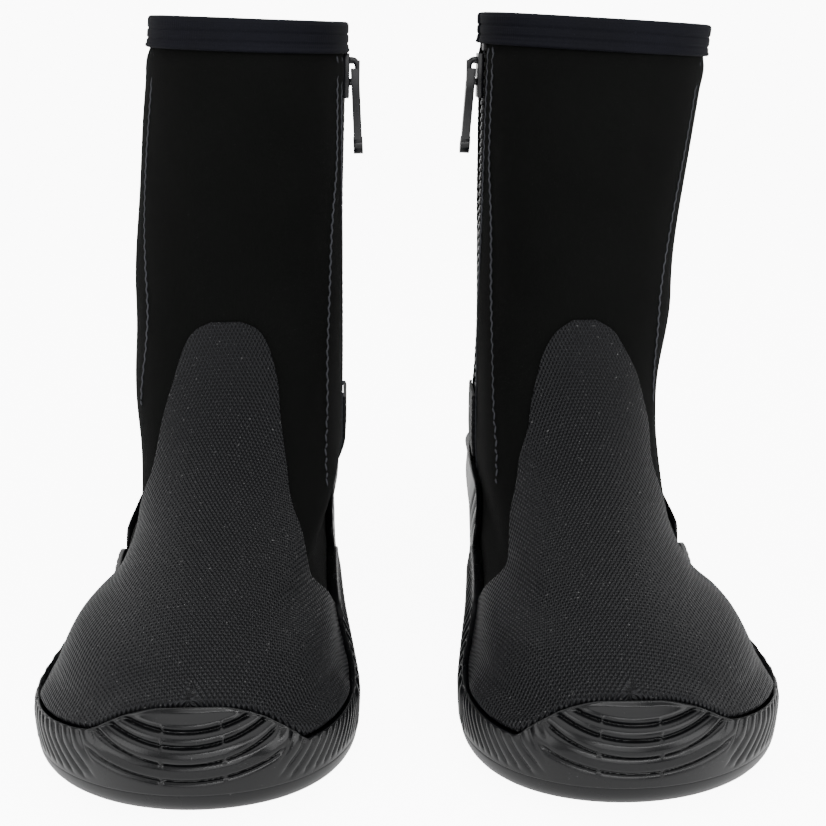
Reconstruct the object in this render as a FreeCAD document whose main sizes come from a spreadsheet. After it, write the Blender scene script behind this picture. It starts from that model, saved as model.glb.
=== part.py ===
import FreeCAD, Part
import Sketcher
import math
import os

Vector = FreeCAD.Vector

os.makedirs("parts", exist_ok=True)
doc = FreeCAD.newDocument("neoprene_boots")

# ---------------------------------------------------------------- driving sizes (mm)
driving = [
    ("boot_length", 287, "foot shape, heel to toe tip, without the rubber"),
    ("boot_height", 235, "collar top above the floor"),
    ("ball_half_width", 50.5, "foot shape at the ball"),
    ("heel_half_width", 34.5, "foot shape at the heel"),
    ("stance", 69.5, "centre line of each boot from the middle of the pair"),
    ("pair_shift", 2.17, "puts the middle of the whole pair at the origin"),
    ("heel_line", 143, "back of the heel behind the middle of the pair"),
    ("toe_spring_start", 205, "from the heel back to where the sole starts to rise"),
    ("toe_spring_radius", 560, "radius of the rising toe"),
    ("neoprene", 5, "thickness of the neoprene"),
    ("skin_gap", 0.35, "glue line between a piece and what it covers"),
    ("side_gap", 0.4, "gap between two pieces side by side"),
    ("seam_gap", 0.8, "gap between the two neoprene panels, filled by the seam tape"),
    ("outsole_thickness", 7.4, ""),
    ("midsole_thickness", 4, ""),
    ("sock_sole_thickness", 3.4, ""),
    ("insole_thickness", 3.7, ""),
    ("layer_gap", 0.3, "between two sole layers"),
    ("rubber_gap", 0.65, "between the outsole and the strips above it"),
    ("sock_gap", 1.4, "between the inner soles and the neoprene wall"),
    ("tread_depth", 3, ""),
    ("tread_groove", 4, "width of a tread groove"),
    ("tread_pitch", 13, ""),
    ("tread_rim", 2.5, "from the foot shape in to the ends of the grooves"),
    ("foxing_thickness", 3.1, ""),
    ("foxing_height", 26, "top of the side strips above the floor"),
    ("bumper_thickness", 4, ""),
    ("bumper_rise", 4.8, "how much the toe bumper stands above the side strips"),
    ("bumper_reach", 246, "heel back to the rear end of the toe bumper"),
    ("heel_cap_reach", 134, "heel back to the front end of the heel cap"),
    ("heel_cap_height", 46, ""),
    ("ledge_depth", 3.2, "how far the fin strap ledge stands out"),
    ("ledge_height", 5, ""),
    ("vamp_thickness", 1.8, ""),
    ("vamp_height", 121, "top of the vamp tongue"),
    ("binding_height", 11, ""),
    ("binding_thickness", 1.2, ""),
    ("seam_line", 66, "heel back to the lateral seam"),
    ("zip_line", 66, "heel back to the middle of the zip"),
    ("zip_bottom", 80, "lower end of the teeth above the floor"),
    ("zip_slot_half", 12, "half the opening between the panels"),
    ("tape_thickness", 0.6, ""),
    ("tooth_pitch", 3.5, ""),
    ("tooth_length", 3.7, "across the zip"),
    ("tooth_thickness", 3, ""),
    ("tooth_width", 1.9, "along the zip"),
    ("teeth_clearance", 0.45, "half the gap between the two rows"),
    ("slider_length", 18, ""),
    ("slider_drop", 1.5, "from the binding down to the closed slider"),
    ("slider_half_width", 6.2, ""),
    ("slider_plate", 1.4, ""),
    ("bridge_half_width", 1.7, ""),
    ("pull_length", 34, "hinge to the end of the pull"),
    ("pull_thickness", 2, ""),
    ("pull_half_width", 3.4, ""),
    ("pull_eye", 1.6, "radius of the hole at the end of the pull"),
    ("pin_radius", 0.8, "cross bar of the pull"),
    ("seam_tape_half", 7, "half the width of a seam tape"),
    ("seam_tape_thickness", 0.5, ""),
    ("gusset_half", 20, "half the width of the flap behind the zip"),
    ("gusset_thickness", 1, ""),
    ("patch_half", 13.5, "half the width of the patch under the zip"),
    ("patch_thickness", 1.4, ""),
    ("patch_bottom", 50, ""),
    ("right_collar_half", 39.6, ""),
    ("right_calf_half", 39, ""),
    ("right_ankle_half", 44.4, ""),
    ("right_lean_mid", -3.1, "sideways lean towards the other boot, half way up"),
    ("right_lean_top", 7.9, "the same at the collar"),
    ("right_collar_drop", 2.6, "how much lower the collar is on its inner side"),
    ("left_collar_half", 46.5, ""),
    ("left_calf_half", 45.4, ""),
    ("left_ankle_half", 36.4, ""),
    ("left_lean_mid", -0.7, ""),
    ("left_lean_top", -11.3, ""),
    ("left_collar_drop", -5.2, ""),
    ("right_toe_in", 0, "how much the toe turns to the other boot, per unit of length"),
    ("left_toe_in", 0.014, ""),
    ("right_pull_lean", 3.2, "degrees that the pull hangs away from the zip"),
    ("left_pull_lean", 4, ""),
]

sheet = doc.addObject("Spreadsheet::Sheet", "Sizes")
for row, (alias, value, note) in enumerate(driving, start=1):
    sheet.set("A%d" % row, alias)
    sheet.set("B%d" % row, str(value))
    sheet.set("C%d" % row, note)
    sheet.setAlias("B%d" % row, alias)
doc.recompute()


def size(alias):
    return float(sheet.get(alias))


# ---------------------------------------------------------------- shape of the foot and the shaft
# height, toe line and heel line behind the heel, roundness of toe and heel, half widths at ball and heel
STATIONS = [
    (0, -281, -6, 60, 40, 48.5, 31),
    (8, -286, -3, 60, 40, 50, 33),
    (18, -287, 0, 61, 41, 50.5, 34.5),
    (28, -282, 0, 63, 41, 46.5, 35.5),
    (38, -269, -1, 70, 42, 43.5, 36),
    (48, -246, -3, 82, 43, 33, 36),
    (59, -209, -7, 85, 44, 28.5, 35),
    (72, -173, -12, 76, 45, 31, 37),
    (88, -147, -17, 62, 47, 38, 39),
    (108, -130, -19, 52, 49, 40, 40.5),
    (130, -121, -17, 46, 50, 41, 41.5),
    (157, -117, -13, 45, 50, 42, 42),
    (188, -115, -9, 45, 52, 42, 42),
    (235, -113, -5, 46, 53, 42, 42),
]
STATION_LENGTH = 287
STATION_HEIGHT = 235
STATION_BALL = 50.5
STATION_HEEL = 34.5
INSTEP_HEIGHT = 72
SHAFT_START = 54
SHAFT_BLEND = 54

BOOTS = {"right": 1, "left": -1}


def smooth(value):
    value = min(max(value, 0.0), 1.0)
    return value * value * (3 - 2 * value)


def curve(xs, ys):
    # a smooth line through the points that never overshoots them
    step = [(ys[i + 1] - ys[i]) / (xs[i + 1] - xs[i]) for i in range(len(xs) - 1)]
    slope = [step[0]]
    for i in range(1, len(xs) - 1):
        before, after = step[i - 1], step[i]
        if before * after <= 0:
            slope.append(0.0)
        else:
            first = 2 * (xs[i + 1] - xs[i]) + (xs[i] - xs[i - 1])
            second = (xs[i + 1] - xs[i]) + 2 * (xs[i] - xs[i - 1])
            slope.append((first + second) / (first / before + second / after))
    slope.append(step[-1])

    def at(x):
        x = min(max(x, xs[0]), xs[-1])
        i = 0
        while i < len(xs) - 2 and x > xs[i + 1]:
            i += 1
        width = xs[i + 1] - xs[i]
        t = (x - xs[i]) / width
        start = ys[i] * (1 + 2 * t) * (1 - t) ** 2 + slope[i] * width * t * (1 - t) ** 2
        end = ys[i + 1] * t * t * (3 - 2 * t) + slope[i + 1] * width * t * t * (t - 1)
        return start + end

    return at


length_ratio = size("boot_length") / STATION_LENGTH
ball_ratio = size("ball_half_width") / STATION_BALL
heel_ratio = size("heel_half_width") / STATION_HEEL
shaft_ratio = (size("boot_height") - INSTEP_HEIGHT) / (STATION_HEIGHT - INSTEP_HEIGHT)


def shaft_height(height):
    # heights above the instep follow the height of the boot
    return height if height < INSTEP_HEIGHT else INSTEP_HEIGHT + (height - INSTEP_HEIGHT) * shaft_ratio


heights = [shaft_height(station[0]) for station in STATIONS]
toe_line = curve(heights, [station[1] * length_ratio for station in STATIONS])
back_line = curve(heights, [station[2] for station in STATIONS])
toe_round = curve(heights, [station[3] * length_ratio for station in STATIONS])
back_round = curve(heights, [station[4] for station in STATIONS])
ball_half = curve(heights, [station[5] * ball_ratio for station in STATIONS])
heel_half = curve(heights, [station[6] * heel_ratio for station in STATIONS])
centre_line = curve([-290, -235, -180, -120, -80, 0], [3, -2, -3, -1, 0, 0])


def shaft_line(boot, foot, mid, top):
    return curve([SHAFT_START, INSTEP_HEIGHT, shaft_height(125), size("boot_height")],
                 [foot, foot, mid, top])


half_line = {}
lean_line = {}
tilt = {}
zip_side = {}
for boot in BOOTS:
    half_line[boot] = shaft_line(boot, size(boot + "_ankle_half"), size(boot + "_calf_half"),
                                 size(boot + "_collar_half"))
    lean_line[boot] = shaft_line(boot, 0, size(boot + "_lean_mid"), size(boot + "_lean_top"))
    tilt[boot] = size(boot + "_collar_drop") / (2 * size(boot + "_collar_half"))
    low = half_line[boot](size("zip_bottom")) + lean_line[boot](size("zip_bottom"))
    high = size(boot + "_collar_half") + size(boot + "_lean_top")
    zip_side[boot] = (low, (high - low) / (size("boot_height") - size("zip_bottom")))


def spring(y):
    # rise of the sole under the toes, an arc that starts level
    run = max(0.0, -size("toe_spring_start") * length_ratio - y)
    radius = size("toe_spring_radius")
    return radius - math.sqrt(radius * radius - run * run)


def foot_point(boot, turn, height):
    # turn is 0 at the toe, +90 on the inner side, 180 at the heel, -90 on the outer side
    angle = math.radians(turn)
    toe = toe_line(height)
    back = back_line(height)
    y = toe + (back - toe) * (1 - math.cos(angle)) / 2
    toe_share = min((y - toe) / toe_round(height), 1.0)
    back_share = min((back - y) / back_round(height), 1.0)
    toe_cap = max(0.0, 1 - abs(1 - toe_share) ** 2.25)
    back_cap = max(0.0, 1 - (1 - back_share) ** 2)
    shaft = smooth((height - SHAFT_START) / SHAFT_BLEND)
    wide = half_line[boot](height)
    ball = ball_half(height) * (1 - shaft) + wide * shaft
    heel = heel_half(height) * (1 - shaft) + wide * shaft
    half = heel + (ball - heel) * smooth((-45 - y) / 210)
    inner = math.sin(angle) > 0
    if not inner:
        half -= 7.7 * math.exp(-((y + 178) / 31) ** 2) * smooth((68 - height) / 32)
    else:
        # the inner side is straight where the zip runs
        low, climb = zip_side[boot]
        straight = low + climb * (height - size("zip_bottom")) - lean_line[boot](height)
        half += (straight - half) * smooth((height - size("zip_bottom") + 45) / 25)
    side = half * math.sqrt(toe_cap * back_cap) * (1 if inner else -1)
    toe_in = size(boot + "_toe_in") * (-120 - y)
    x = (centre_line(y) + toe_in) * (1 - shaft) + lean_line[boot](height) + side
    z = height - tilt[boot] * side * smooth((height - 120) / (size("boot_height") - 125))
    z += spring(y) * (1 - smooth((height - 20) / 50))
    return Vector(x, y, z)


def skin_point(boot, turn, height, depth):
    # a point at this depth outside the neoprene's outer face
    point = foot_point(boot, turn, height)
    if depth:
        along = foot_point(boot, turn + 0.1, height) - foot_point(boot, turn - 0.1, height)
        upward = foot_point(boot, turn, height + 0.05) - foot_point(boot, turn, height - 0.05)
        normal = along.cross(upward)
        normal.normalize()
        point = point + normal * depth
    x = BOOTS[boot] * (point.x - size("stance")) - size("pair_shift")
    return Vector(x, point.y + size("heel_line"), point.z)


def turn_at(y, height, inner):
    # the turn on which the foot shape passes this distance behind the heel
    toe = toe_line(height)
    share = (y - toe) / (back_line(height) - toe)
    turn = math.degrees(math.acos(max(-1.0, min(1.0, 1 - 2 * share))))
    return turn if inner else -turn


# ---------------------------------------------------------------- ways of making a piece
def steps(start, end, count):
    return [start + (end - start) * i / (count - 1) for i in range(count)]


def add(label, shape):
    feature = doc.addObject("Part::Feature", label)
    feature.Label = label
    feature.Shape = shape
    feature.Placement = FreeCAD.Placement()
    return feature


def sewn_solid(faces):
    shell = Part.makeShell(faces)
    shell.sewShape(1e-3)
    shell = shell.Shells[0] if shell.Shells else shell
    solid = Part.makeSolid(shell)
    if solid.Volume < 0:
        solid.reverse()
    fixed = Part.Solid(solid)
    fixed.fix(1e-3, 1e-3, 1e-3)
    return fixed


def patch(boot, turns, levels, inner_depth, outer_depth):
    # a curved plate: turns(level share) gives its two side edges, levels(turn share, level share) its height
    columns, rows = turns.columns, levels.rows
    faces = []
    rims = []
    for depth in (outer_depth, inner_depth):
        grid = []
        for i in range(columns):
            line = []
            for j in range(rows):
                height = levels.at(i / (columns - 1), j / (rows - 1))
                turn = turns.at(i / (columns - 1), height)
                line.append(skin_point(boot, turn, height, depth))
            grid.append(line)
        surface = Part.BSplineSurface()
        surface.interpolate(grid)
        faces.append(surface.toShape())
        u0, u1, v0, v1 = surface.bounds()
        rims.append([surface.uIso(u0), surface.uIso(u1), surface.vIso(v0), surface.vIso(v1)])
    for outer, inner in zip(*rims):
        faces.append(Part.makeRuledSurface(outer.toShape(), inner.toShape()))
    return sewn_solid(faces)


class Turns:
    # the two side edges of a plate, each a function of height that gives a turn
    def __init__(self, first, last, columns):
        self.first = first
        self.last = last
        self.columns = columns

    def at(self, share, height):
        start = self.first(height)
        return start + (self.last(height) - start) * share


class Levels:
    # the lower and upper edge of a plate, each a function of the share across it
    def __init__(self, lower, upper, rows):
        self.lower = lower if callable(lower) else (lambda share: lower)
        self.upper = upper if callable(upper) else (lambda share: upper)
        self.rows = rows

    def at(self, across, upwards):
        start = self.lower(across)
        return start + (self.upper(across) - start) * upwards


def rail(points):
    line = Part.BSplineCurve()
    line.interpolate(points)
    return line.toShape()


def section_sweep(sections, strips):
    # a bar whose section changes along it: sections are polygons, strips split its two ends in quads
    count = len(sections[0])
    rails = [rail([section[k] for section in sections]) for k in range(count)]
    faces = [Part.makeRuledSurface(rails[k], rails[(k + 1) % count]) for k in range(count)]
    for end in (sections[0], sections[-1]):
        for a, b, c, d in strips:
            first = Part.LineSegment(end[a], end[b]).toShape()
            second = Part.LineSegment(end[d], end[c]).toShape()
            faces.append(Part.makeRuledSurface(first, second))
    return sewn_solid(faces)



# ---------------------------------------------------------------- edges that pieces share
COLUMNS = 41
ROWS = 34
gap = size("side_gap") / 2
seam_half = size("seam_gap") / 2
skin = size("skin_gap")
rubber_floor = size("outsole_thickness") + size("rubber_gap")
panel_floor = size("outsole_thickness") + size("midsole_thickness") + 2 * size("layer_gap")
panel_top = size("boot_height") - size("binding_thickness") - size("layer_gap")
binding_floor = size("boot_height") - size("binding_height")
reach = {name: size(name + "_reach") * length_ratio for name in ("bumper", "heel_cap")}
nodes = {}


def slot_half(height):
    # half the opening for the zip, closed below the zip
    opening = smooth((height - size("zip_bottom") + 7) / 9)
    return seam_half + (size("zip_slot_half") - seam_half) * opening


# where the vamp ends on the toe bumper, by turn: low on both sides of the middle
toe_edge = curve([-42, -35, -29, -23, -14, -6, 0, 6, 14, 20, 25, 30, 36, 42],
                 [26, 24, 22, 22.4, 28.6, 30.6, 30.8, 30.6, 28.4, 23.3, 19.2, 19.6, 23, 26])


def rubber_top(turn):
    rise = toe_edge(turn) - 26
    return size("foxing_height") + (rise * size("bumper_rise") / 4.8 if rise > 0 else rise)


def side_edge(distance, inner, lap=0):
    # an upright edge at one distance in front of the heel
    return lambda height: turn_at(-distance, height, inner) + lap


def node(label, shape):
    nodes[label] = add(label, shape)


def plate(label, boot, turns, levels, inner_depth, outer_depth):
    node(boot + "_" + label, patch(boot, turns, levels, inner_depth, outer_depth))


# ---------------------------------------------------------------- neoprene and what is sewn to it
vamp_middle = curve([26, 40, 60, 80, 121], [0, -1, -3, -2, -1])
vamp_half = curve([26, 32, 40, 48, 58, 68, 80, 100, 112, 118, 121],
                  [80, 68, 59, 53, 46.5, 39, 33.5, 26.5, 19, 13, 6])
vamp_ratio = 121 / size("vamp_height")


def upper_pieces(boot):
    inside = -size("neoprene")
    zip_line = size("zip_line")
    seam = size("seam_line")
    front_slot = lambda height: turn_at(-zip_line - slot_half(height), height, True)
    rear_slot = lambda height: turn_at(-zip_line + slot_half(height), height, True)
    front = Turns(side_edge(seam + seam_half, False), front_slot, 2 * COLUMNS - 1)
    rear = Turns(rear_slot, side_edge(seam - seam_half, False, 360), 2 * COLUMNS - 1)
    walls = Levels(panel_floor, panel_top, 2 * ROWS)
    plate("front_panel", boot, front, walls, inside, 0)
    plate("rear_panel", boot, rear, walls, inside, 0)

    middle = lambda height: vamp_middle(height * vamp_ratio)
    half = lambda height: vamp_half(height * vamp_ratio)
    tongue = Turns(lambda height: middle(height) - half(height),
                   lambda height: middle(height) + half(height), 2 * COLUMNS - 1)
    edge = lambda share: rubber_top(tongue.at(share, size("foxing_height"))) + 4 * gap
    plate("vamp_overlay", boot, tongue, Levels(edge, size("vamp_height"), 2 * ROWS),
          skin, skin + size("vamp_thickness"))

    tape_out = inside - skin
    tape_in = tape_out - size("seam_tape_thickness")
    insole_top = panel_floor + size("sock_sole_thickness") + size("insole_thickness") + 1
    half_tape = size("seam_tape_half")
    lateral = Turns(side_edge(seam + half_tape, False), side_edge(seam - half_tape, False), 7)
    medial = Turns(side_edge(zip_line + half_tape, True), side_edge(zip_line - half_tape, True), 7)
    flap_floor = size("zip_bottom") - 20
    plate("seam_tape_lateral", boot, lateral, Levels(insole_top, binding_floor - 2 * gap, ROWS),
          tape_in, tape_out)
    plate("seam_tape_medial", boot, medial, Levels(insole_top, flap_floor - 2 * gap, ROWS),
          tape_in, tape_out)
    flap = Turns(side_edge(zip_line + size("gusset_half"), True),
                 side_edge(zip_line - size("gusset_half"), True), 11)
    plate("zip_gusset", boot, flap, Levels(flap_floor, binding_floor - 2 * gap, ROWS),
          tape_out - gap - size("gusset_thickness"), tape_out - gap)
    cover = Turns(side_edge(zip_line + size("patch_half"), True),
                  side_edge(zip_line - size("patch_half"), True), 9)
    plate("zip_end_patch", boot, cover, Levels(size("patch_bottom"), size("zip_bottom") - 2, 9),
          skin, skin + size("patch_thickness"))


def collar_binding(boot):
    # a folded band over the cut edge, open at the zip
    opening = size("teeth_clearance") + size("tooth_length") + 1.4
    thick = size("binding_thickness")
    outside = skin + thick
    inside = -size("neoprene") - skin - thick
    bottom, top = binding_floor, size("boot_height")
    fold = [(outside, bottom), (outside, top), (inside, top), (inside, bottom),
            (inside + thick, bottom), (inside + thick, top - thick),
            (skin, top - thick), (skin, bottom)]
    start = turn_at(-size("zip_line") - opening, top, True)
    end = turn_at(-size("zip_line") + opening, top, True) - 360
    sections = [[skin_point(boot, turn, height, depth) for depth, height in fold]
                for turn in steps(start, end, 73)]
    strips = [(0, 1, 6, 7), (1, 2, 5, 6), (2, 3, 4, 5)]
    node(boot + "_collar_binding", section_sweep(sections, strips))


# ---------------------------------------------------------------- rubber around the foot
def rubber_pieces(boot):
    thick = skin + size("foxing_thickness")
    strip = Levels(rubber_floor, size("foxing_height"), 9)
    medial = Turns(side_edge(reach["bumper"] - gap, True), side_edge(reach["heel_cap"] + gap, True), 21)
    lateral = Turns(side_edge(reach["heel_cap"] + gap, False), side_edge(reach["bumper"] - gap, False), 21)
    plate("foxing_medial", boot, medial, strip, skin, thick)
    plate("foxing_lateral", boot, lateral, strip, skin, thick)

    nose = Turns(side_edge(reach["bumper"] + gap, False), side_edge(reach["bumper"] + gap, True),
                 2 * COLUMNS - 1)
    bumper = Levels(rubber_floor, lambda share: rubber_top(nose.at(share, size("foxing_height"))), 21)
    plate("toe_bumper", boot, nose, bumper, skin, skin + size("bumper_thickness"))

    cup = Turns(side_edge(reach["heel_cap"] - gap, True), side_edge(reach["heel_cap"] - gap, False, 360),
                COLUMNS)
    rise = size("heel_cap_height") - size("foxing_height")
    cup_top = lambda share: size("foxing_height") + rise * smooth(min(share, 1 - share) / 0.14)
    plate("heel_cap", boot, cup, Levels(rubber_floor, cup_top, 13), skin, thick)

    ledge = Turns(lambda height: 152, lambda height: 208, 21)
    ledge_top = size("heel_cap_height") - 0.6
    face = thick + size("layer_gap")
    plate("strap_ledge", boot, ledge, Levels(ledge_top - size("ledge_height"), ledge_top, 5),
          face, face + size("ledge_depth"))


# ---------------------------------------------------------------- sole layers
SIDE_VIEW = FreeCAD.Rotation(Vector(1, 1, 1), 120)
PLAN_TOP = 45
SPAN = 400


def plan_block(boot, name, height, depth):
    sketch = doc.addObject("Sketcher::SketchObject", boot + "_" + name + "_plan")
    outline = Part.BSplineCurve()
    points = [skin_point(boot, turn, height, depth) for turn in range(0, 360, 10)]
    outline.interpolate([Vector(point.x, point.y, 0) for point in points], PeriodicFlag=True)
    sketch.addGeometry(outline)
    sketch.Placement = FreeCAD.Placement(Vector(0, 0, -5), FreeCAD.Rotation())
    block = doc.addObject("Part::Extrusion", boot + "_" + name + "_block")
    block.Base = sketch
    block.DirMode = "Custom"
    block.Dir = Vector(0, 0, 1)
    block.LengthFwd = PLAN_TOP
    block.Solid = True
    return block


def arc(y, z, radius, start, end):
    return Part.ArcOfCircle(Part.Circle(Vector(y, z, 0), Vector(0, 0, 1), radius),
                            math.radians(start), math.radians(end))


def side_block(boot, name, floor, thickness):
    # the layer seen from the side: level, then rising under the toes
    flat = size("heel_line") - size("toe_spring_start") * length_ratio
    back = size("heel_line") + 12
    radius = size("toe_spring_radius")
    sweep = math.degrees(math.asin(110 / radius))
    sketch = doc.addObject("Sketcher::SketchObject", boot + "_" + name + "_side")
    ends = []
    for z in (floor, floor + thickness):
        sketch.addGeometry(Part.LineSegment(Vector(back, z, 0), Vector(flat, z, 0)))
        sketch.addGeometry(arc(flat, z + radius, radius, 270 - sweep, 270))
        ends.append(Vector(flat - 110, z + radius - radius * math.cos(math.radians(sweep)), 0))
    sketch.addGeometry(Part.LineSegment(*ends))
    sketch.addGeometry(Part.LineSegment(Vector(back, floor, 0), Vector(back, floor + thickness, 0)))
    sketch.Placement = FreeCAD.Placement(Vector(0, 0, 0), SIDE_VIEW)
    block = doc.addObject("Part::Extrusion", boot + "_" + name + "_slab")
    block.Base = sketch
    block.DirMode = "Custom"
    block.Dir = Vector(1, 0, 0)
    block.LengthFwd = SPAN
    block.Symmetric = True
    block.Solid = True
    return block


def layer(boot, name, height, depth, floor, thickness):
    common = doc.addObject("Part::Common", boot + "_" + name)
    common.Base = plan_block(boot, name, height, depth)
    common.Tool = side_block(boot, name, floor, thickness)
    return common


def tread(boot, sole):
    # grooves across the outsole, between the heel edge and the toe
    grooves = []
    y = size("heel_line") - size("tread_pitch")
    front = size("heel_line") - size("boot_length") * length_ratio + 18
    while y > front:
        groove = doc.addObject("Part::Box", "%s_groove_%d" % (boot, len(grooves)))
        groove.Length = SPAN
        groove.setExpression("Width", "Sizes.tread_groove")
        depth = spring(y - size("heel_line"))
        groove.setExpression("Height", "Sizes.tread_depth + 5 + %.3f" % depth)
        groove.Placement = FreeCAD.Placement(Vector(-SPAN / 2, y, -5), FreeCAD.Rotation())
        grooves.append(groove)
        y -= size("tread_pitch")
    bars = doc.addObject("Part::Compound", boot + "_bars")
    bars.Links = grooves
    tool = doc.addObject("Part::Common", boot + "_grooves")
    tool.Base = plan_block(boot, "tread", 4, -size("tread_rim"))
    tool.Tool = bars
    cut = doc.addObject("Part::Cut", boot + "_outsole")
    cut.Base = sole
    cut.Tool = tool
    return cut


def sole_layers(boot):
    inner = -size("neoprene") - size("sock_gap")
    floor = 0
    sole = layer(boot, "outsole_slab", 4, skin + size("foxing_thickness"), floor,
                 size("outsole_thickness"))
    nodes[boot + "_outsole"] = tread(boot, sole)
    floor += size("outsole_thickness") + size("layer_gap")
    nodes[boot + "_midsole"] = layer(boot, "midsole", 10, -0.4, floor, size("midsole_thickness"))
    floor = panel_floor
    nodes[boot + "_sock_sole"] = layer(boot, "sock_sole", 14, inner, floor, size("sock_sole_thickness"))
    floor += size("sock_sole_thickness") + size("layer_gap")
    nodes[boot + "_insole"] = layer(boot, "insole", 18, inner, floor, size("insole_thickness"))


# ---------------------------------------------------------------- the zip
zip_frame = {}
slider_top = size("boot_height") - size("binding_height") - size("slider_drop") - size("zip_bottom")
slider_floor = slider_top - size("slider_length")
bridge_middle = slider_floor + 0.6 * size("slider_length")
chain_out = -0.6
chain_in = chain_out - size("tooth_thickness")
plate_out = 0.2
pivot_out = plate_out + size("slider_plate") + 1.6


def straight_zip(boot):
    # the zip runs straight from its lower end to the collar
    ends = []
    for height in (size("zip_bottom"), binding_floor):
        turn = turn_at(-size("zip_line"), height, True)
        ends.append(skin_point(boot, turn, height, 0))
    low, high = ends
    angle = math.degrees(math.atan2(high.x - low.x, high.z - low.z))
    return FreeCAD.Placement(low, FreeCAD.Rotation(Vector(0, 1, 0), angle))


def zip_block(boot, outwards, across, along):
    # a block in the zip's own frame: out of the boot, across the zip and up the zip
    start = outwards[0] if BOOTS[boot] > 0 else -outwards[1]
    block = Part.makeBox(outwards[1] - outwards[0], across[1] - across[0], along[1] - along[0],
                         Vector(start, across[0], along[0]))
    return block.transformGeometry(zip_frame[boot].toMatrix())


def zip_rows(boot):
    clear, length = size("teeth_clearance"), size("tooth_length")
    pitch = size("tooth_pitch")
    rows = {"front": (-1, 0.5), "rear": (1, 0.5 + pitch / 2)}
    for name, (side, first) in rows.items():
        count = int((slider_top - first - size("tooth_width")) / pitch)
        across = sorted((side * clear, side * (clear + length)))
        teeth = [zip_block(boot, (chain_in, chain_out), across,
                           (first + k * pitch, first + k * pitch + size("tooth_width")))
                 for k in range(count + 1)]
        node("%s_zip_teeth_%s" % (boot, name), Part.makeCompound(teeth))

        tape_edge = clear + length + size("side_gap")
        zip_line = size("zip_line")
        outer = lambda height: turn_at(-zip_line + side * (slot_half(height) - 2 * gap), height, True)
        inner = side_edge(zip_line - side * tape_edge, True)
        turns = Turns(outer, inner, 5)
        middle = (chain_in + chain_out) / 2
        half = size("tape_thickness") / 2
        plate("zip_tape_" + name, boot, turns, Levels(size("zip_bottom"), panel_top - 1, ROWS),
              middle - half, middle + half)


def zip_stops(boot):
    clear, length = size("teeth_clearance"), size("tooth_length")
    tops = [zip_block(boot, (chain_in, chain_out), across, (slider_top + 1, slider_top + 5))
            for across in ((-clear - length, -clear), (clear, clear + length))]
    node(boot + "_zip_top_stops", Part.makeCompound(tops))
    node(boot + "_zip_bottom_stop", zip_block(boot, (chain_in, chain_out),
                                              (-clear - length, clear + length), (-3.4, -0.3)))


def zip_slider(boot):
    wide, thick = size("slider_half_width"), size("slider_plate")
    whole = (slider_floor, slider_top)
    inner_face = chain_in - skin
    lip = wide - 1.2
    top_face = plate_out + thick
    bar = pivot_out + 1.6
    bridge = (-size("bridge_half_width"), size("bridge_half_width"))
    reach_up = 4.5
    blocks = [
        ("outer_plate", (plate_out, top_face), (-wide, wide), whole),
        ("inner_plate", (inner_face - 1.1, inner_face), (-wide, wide), whole),
        ("outer_lip_front", (-0.8, plate_out), (-wide, -lip), whole),
        ("outer_lip_rear", (-0.8, plate_out), (lip, wide), whole),
        ("inner_lip_front", (inner_face, inner_face + 0.5), (-wide, -lip), whole),
        ("inner_lip_rear", (inner_face, inner_face + 0.5), (lip, wide), whole),
        ("post", (inner_face, plate_out), (-0.25, 0.25), (slider_top - 3, slider_top)),
        ("bridge_low", (top_face, bar), bridge, (bridge_middle - reach_up, bridge_middle - 3)),
        ("bridge_high", (top_face, bar), bridge, (bridge_middle + 3, bridge_middle + reach_up)),
        ("bridge_bar", (bar, bar + 1.2), bridge, (bridge_middle - reach_up, bridge_middle + reach_up)),
    ]
    shapes = []
    for name, outwards, across, along in blocks:
        block = doc.addObject("Part::Box", "%s_slider_%s" % (boot, name))
        block.Length = outwards[1] - outwards[0]
        block.Width = across[1] - across[0]
        block.Height = along[1] - along[0]
        start = outwards[0] if BOOTS[boot] > 0 else -outwards[1]
        block.Placement = FreeCAD.Placement(Vector(start, across[0], along[0]), FreeCAD.Rotation())
        shapes.append(block)
    for block in shapes[:2]:
        block.setExpression("Height", "Sizes.slider_length")
        block.setExpression("Width", "2 * Sizes.slider_half_width")
    slider = doc.addObject("Part::MultiFuse", boot + "_zip_slider")
    slider.Shapes = shapes
    slider.Placement = zip_frame[boot]
    nodes[boot + "_zip_slider"] = slider


def origin_plane(body, role):
    return [plane for plane in body.Origin.OriginFeatures if plane.Role == role][0]


def body_sketch(body, name, role):
    sketch = body.newObject("Sketcher::SketchObject", name)
    sketch.AttachmentSupport = [(origin_plane(body, role), "")]
    sketch.MapMode = "FlatFace"
    return sketch


def centre_circle(sketch, name, z, radius, expression):
    ring = sketch.addGeometry(Part.Circle(Vector(0, z, 0), Vector(0, 0, 1), radius))
    rule = sketch.addConstraint(Sketcher.Constraint("Radius", ring, radius))
    sketch.renameConstraint(rule, name)
    sketch.setExpression("Constraints." + name, expression)


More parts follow.
